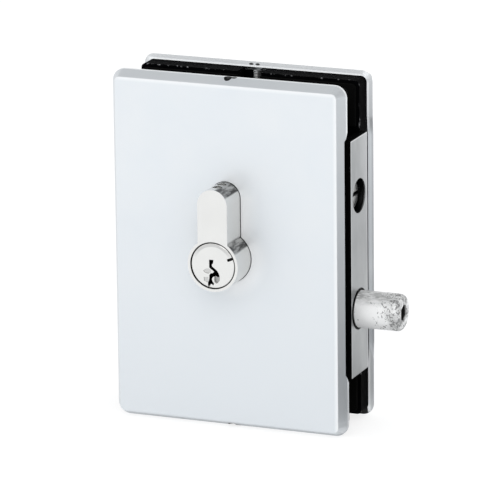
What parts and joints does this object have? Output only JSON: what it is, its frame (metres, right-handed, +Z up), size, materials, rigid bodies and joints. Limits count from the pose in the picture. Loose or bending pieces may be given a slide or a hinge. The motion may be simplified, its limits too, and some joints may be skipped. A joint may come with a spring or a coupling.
{
  "type": "patch lock",
  "caption": "Glass door patch lock: tapered satin covers on black clamp halves, a lock case with a thrown round bolt, and a double profile cylinder.",
  "frame": {"origin": "where the bolt's axis leaves the front edge of the lock case, in the middle of the glass slot", "axes": "+X runs out along the bolt, +Y from the front cover to the rear cover, +Z up"},
  "size_m": [0.0935, 0.054, 0.114],
  "materials": {
    "satin_plate": "satin",
    "black_casting": "satin black paint",
    "rubber": "matt",
    "plated_steel": "bright zinc",
    "dark_steel": "satin",
    "case_zinc": "satin grey",
    "black_nylon": "matt",
    "bolt_nickel": "worn nickel plate",
    "tail_brass": "satin",
    "spring_steel": "satin",
    "cylinder_nickel": "satin nickel plate",
    "cam_steel": "sintered",
    "pin_brass": "turned"
  },
  "bodies": {
    "housing": {"front_cover": "satin_plate", "rear_cover": "satin_plate", "front_clamp": "black_casting", "rear_clamp": "black_casting", "front_gasket": "rubber", "rear_gasket": "rubber", "clamp_screws": "plated_steel", "front_cover_screws": "dark_steel", "rear_cover_screws": "dark_steel", "lock_case": "case_zinc", "case_lid": "case_zinc", "lid_screws": "plated_steel", "bolt_bush": "black_nylon", "leaf_spring": "spring_steel", "cylinder_body": "cylinder_nickel", "driver_pins": "pin_brass", "pin_springs": "spring_steel", "pin_caps": "pin_brass", "cylinder_screw": "plated_steel"},
    "front_rotor": {"front_plug": "cylinder_nickel", "front_plug_clip": "spring_steel", "front_key_pins": "pin_brass"},
    "rear_rotor": {"rear_plug": "cylinder_nickel", "rear_plug_clip": "spring_steel", "rear_key_pins": "pin_brass"},
    "cam_rotor": {"cam": "cam_steel", "clutch": "cam_steel"},
    "bolt_slider": {"bolt": "bolt_nickel", "bolt_tail": "tail_brass"}
  },
  "joints": [
    {"name": "front_plug_turn", "type": "hinge", "parent": "housing", "child": "front_rotor", "pos_m": [-0.039, 0, 0.0174], "axis": [0, 1, 0], "range_deg": [0, 360]},
    {"name": "rear_plug_turn", "type": "hinge", "parent": "housing", "child": "rear_rotor", "pos_m": [-0.039, 0, 0.0174], "axis": [0, 1, 0], "range_deg": [0, 360]},
    {"name": "cam_turn", "type": "hinge", "parent": "housing", "child": "cam_rotor", "pos_m": [-0.039, 0, 0.0174], "axis": [0, 1, 0], "range_deg": [0, 360]},
    {"name": "bolt_slide", "type": "slide", "parent": "housing", "child": "bolt_slider", "axis": [1, 0, 0], "range_m": [-0.015, 0]}
  ],
  "couplings": [
    {"joint": "front_plug_turn", "follows": "bolt_slide", "rad_per_m": -418.87},
    {"joint": "cam_turn", "follows": "bolt_slide", "rad_per_m": -418.87}
  ]
}
